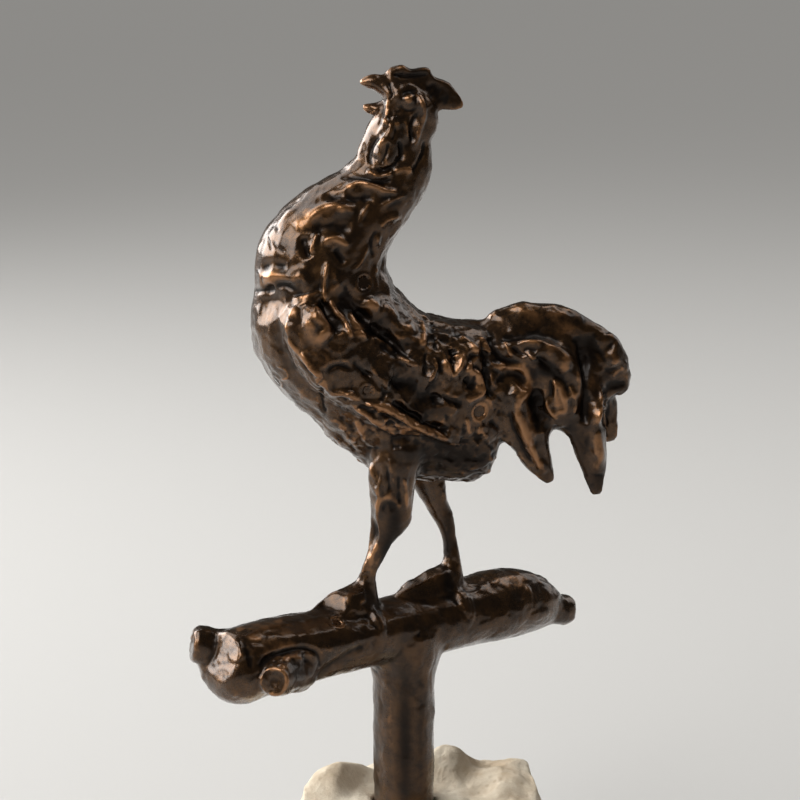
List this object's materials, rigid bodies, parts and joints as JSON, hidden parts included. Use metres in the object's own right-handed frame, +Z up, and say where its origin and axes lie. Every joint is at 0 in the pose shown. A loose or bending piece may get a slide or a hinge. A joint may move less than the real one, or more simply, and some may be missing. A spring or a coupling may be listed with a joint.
{
  "type": "rooster figurine",
  "caption": "Crowing rooster in dark patinated bronze, standing on a branch perch whose round post is bolted to a rough stone base.",
  "frame": {"origin": "on the underside of the felt, on the post's axis", "axes": "+Z up along the post; the rooster faces -X, so its left side faces -Y"},
  "size_m": [0.1255, 0.0722, 0.2519],
  "materials": {
    "bronze": "cast bronze, near-black brown patina under wax, rubbed to copper on raised forms",
    "stone": "rough pale limestone",
    "steel": "plain zinc-plated hardware",
    "felt": "dark wool felt"
  },
  "bodies": {
    "root": {"felt_pad": "felt", "stone_base": "stone", "threaded_stud": "steel", "washer": "steel", "hex_nut": "steel", "post": "bronze", "perch_branch": "bronze", "branch_core_plug": "bronze", "left_leg": "bronze", "right_leg": "bronze", "left_foot_dowel": "bronze", "right_foot_dowel": "bronze", "body_shell": "bronze", "breast_core_plug": "bronze", "neck_and_head": "bronze", "neck_joint_pin": "bronze", "comb": "bronze", "left_wattle": "bronze", "right_wattle": "bronze", "left_wing": "bronze", "right_wing": "bronze", "left_wing_rivet": "bronze", "right_wing_rivet": "bronze", "tail_core": "bronze", "tail_joint_pin": "bronze", "tail_sickle_top": "bronze", "tail_sickle_left": "bronze", "tail_sickle_right": "bronze", "tail_plume_upper_left": "bronze", "tail_plume_upper_right": "bronze", "tail_plume_lower_left": "bronze", "tail_plume_lower_right": "bronze"}
  },
  "joints": []
}
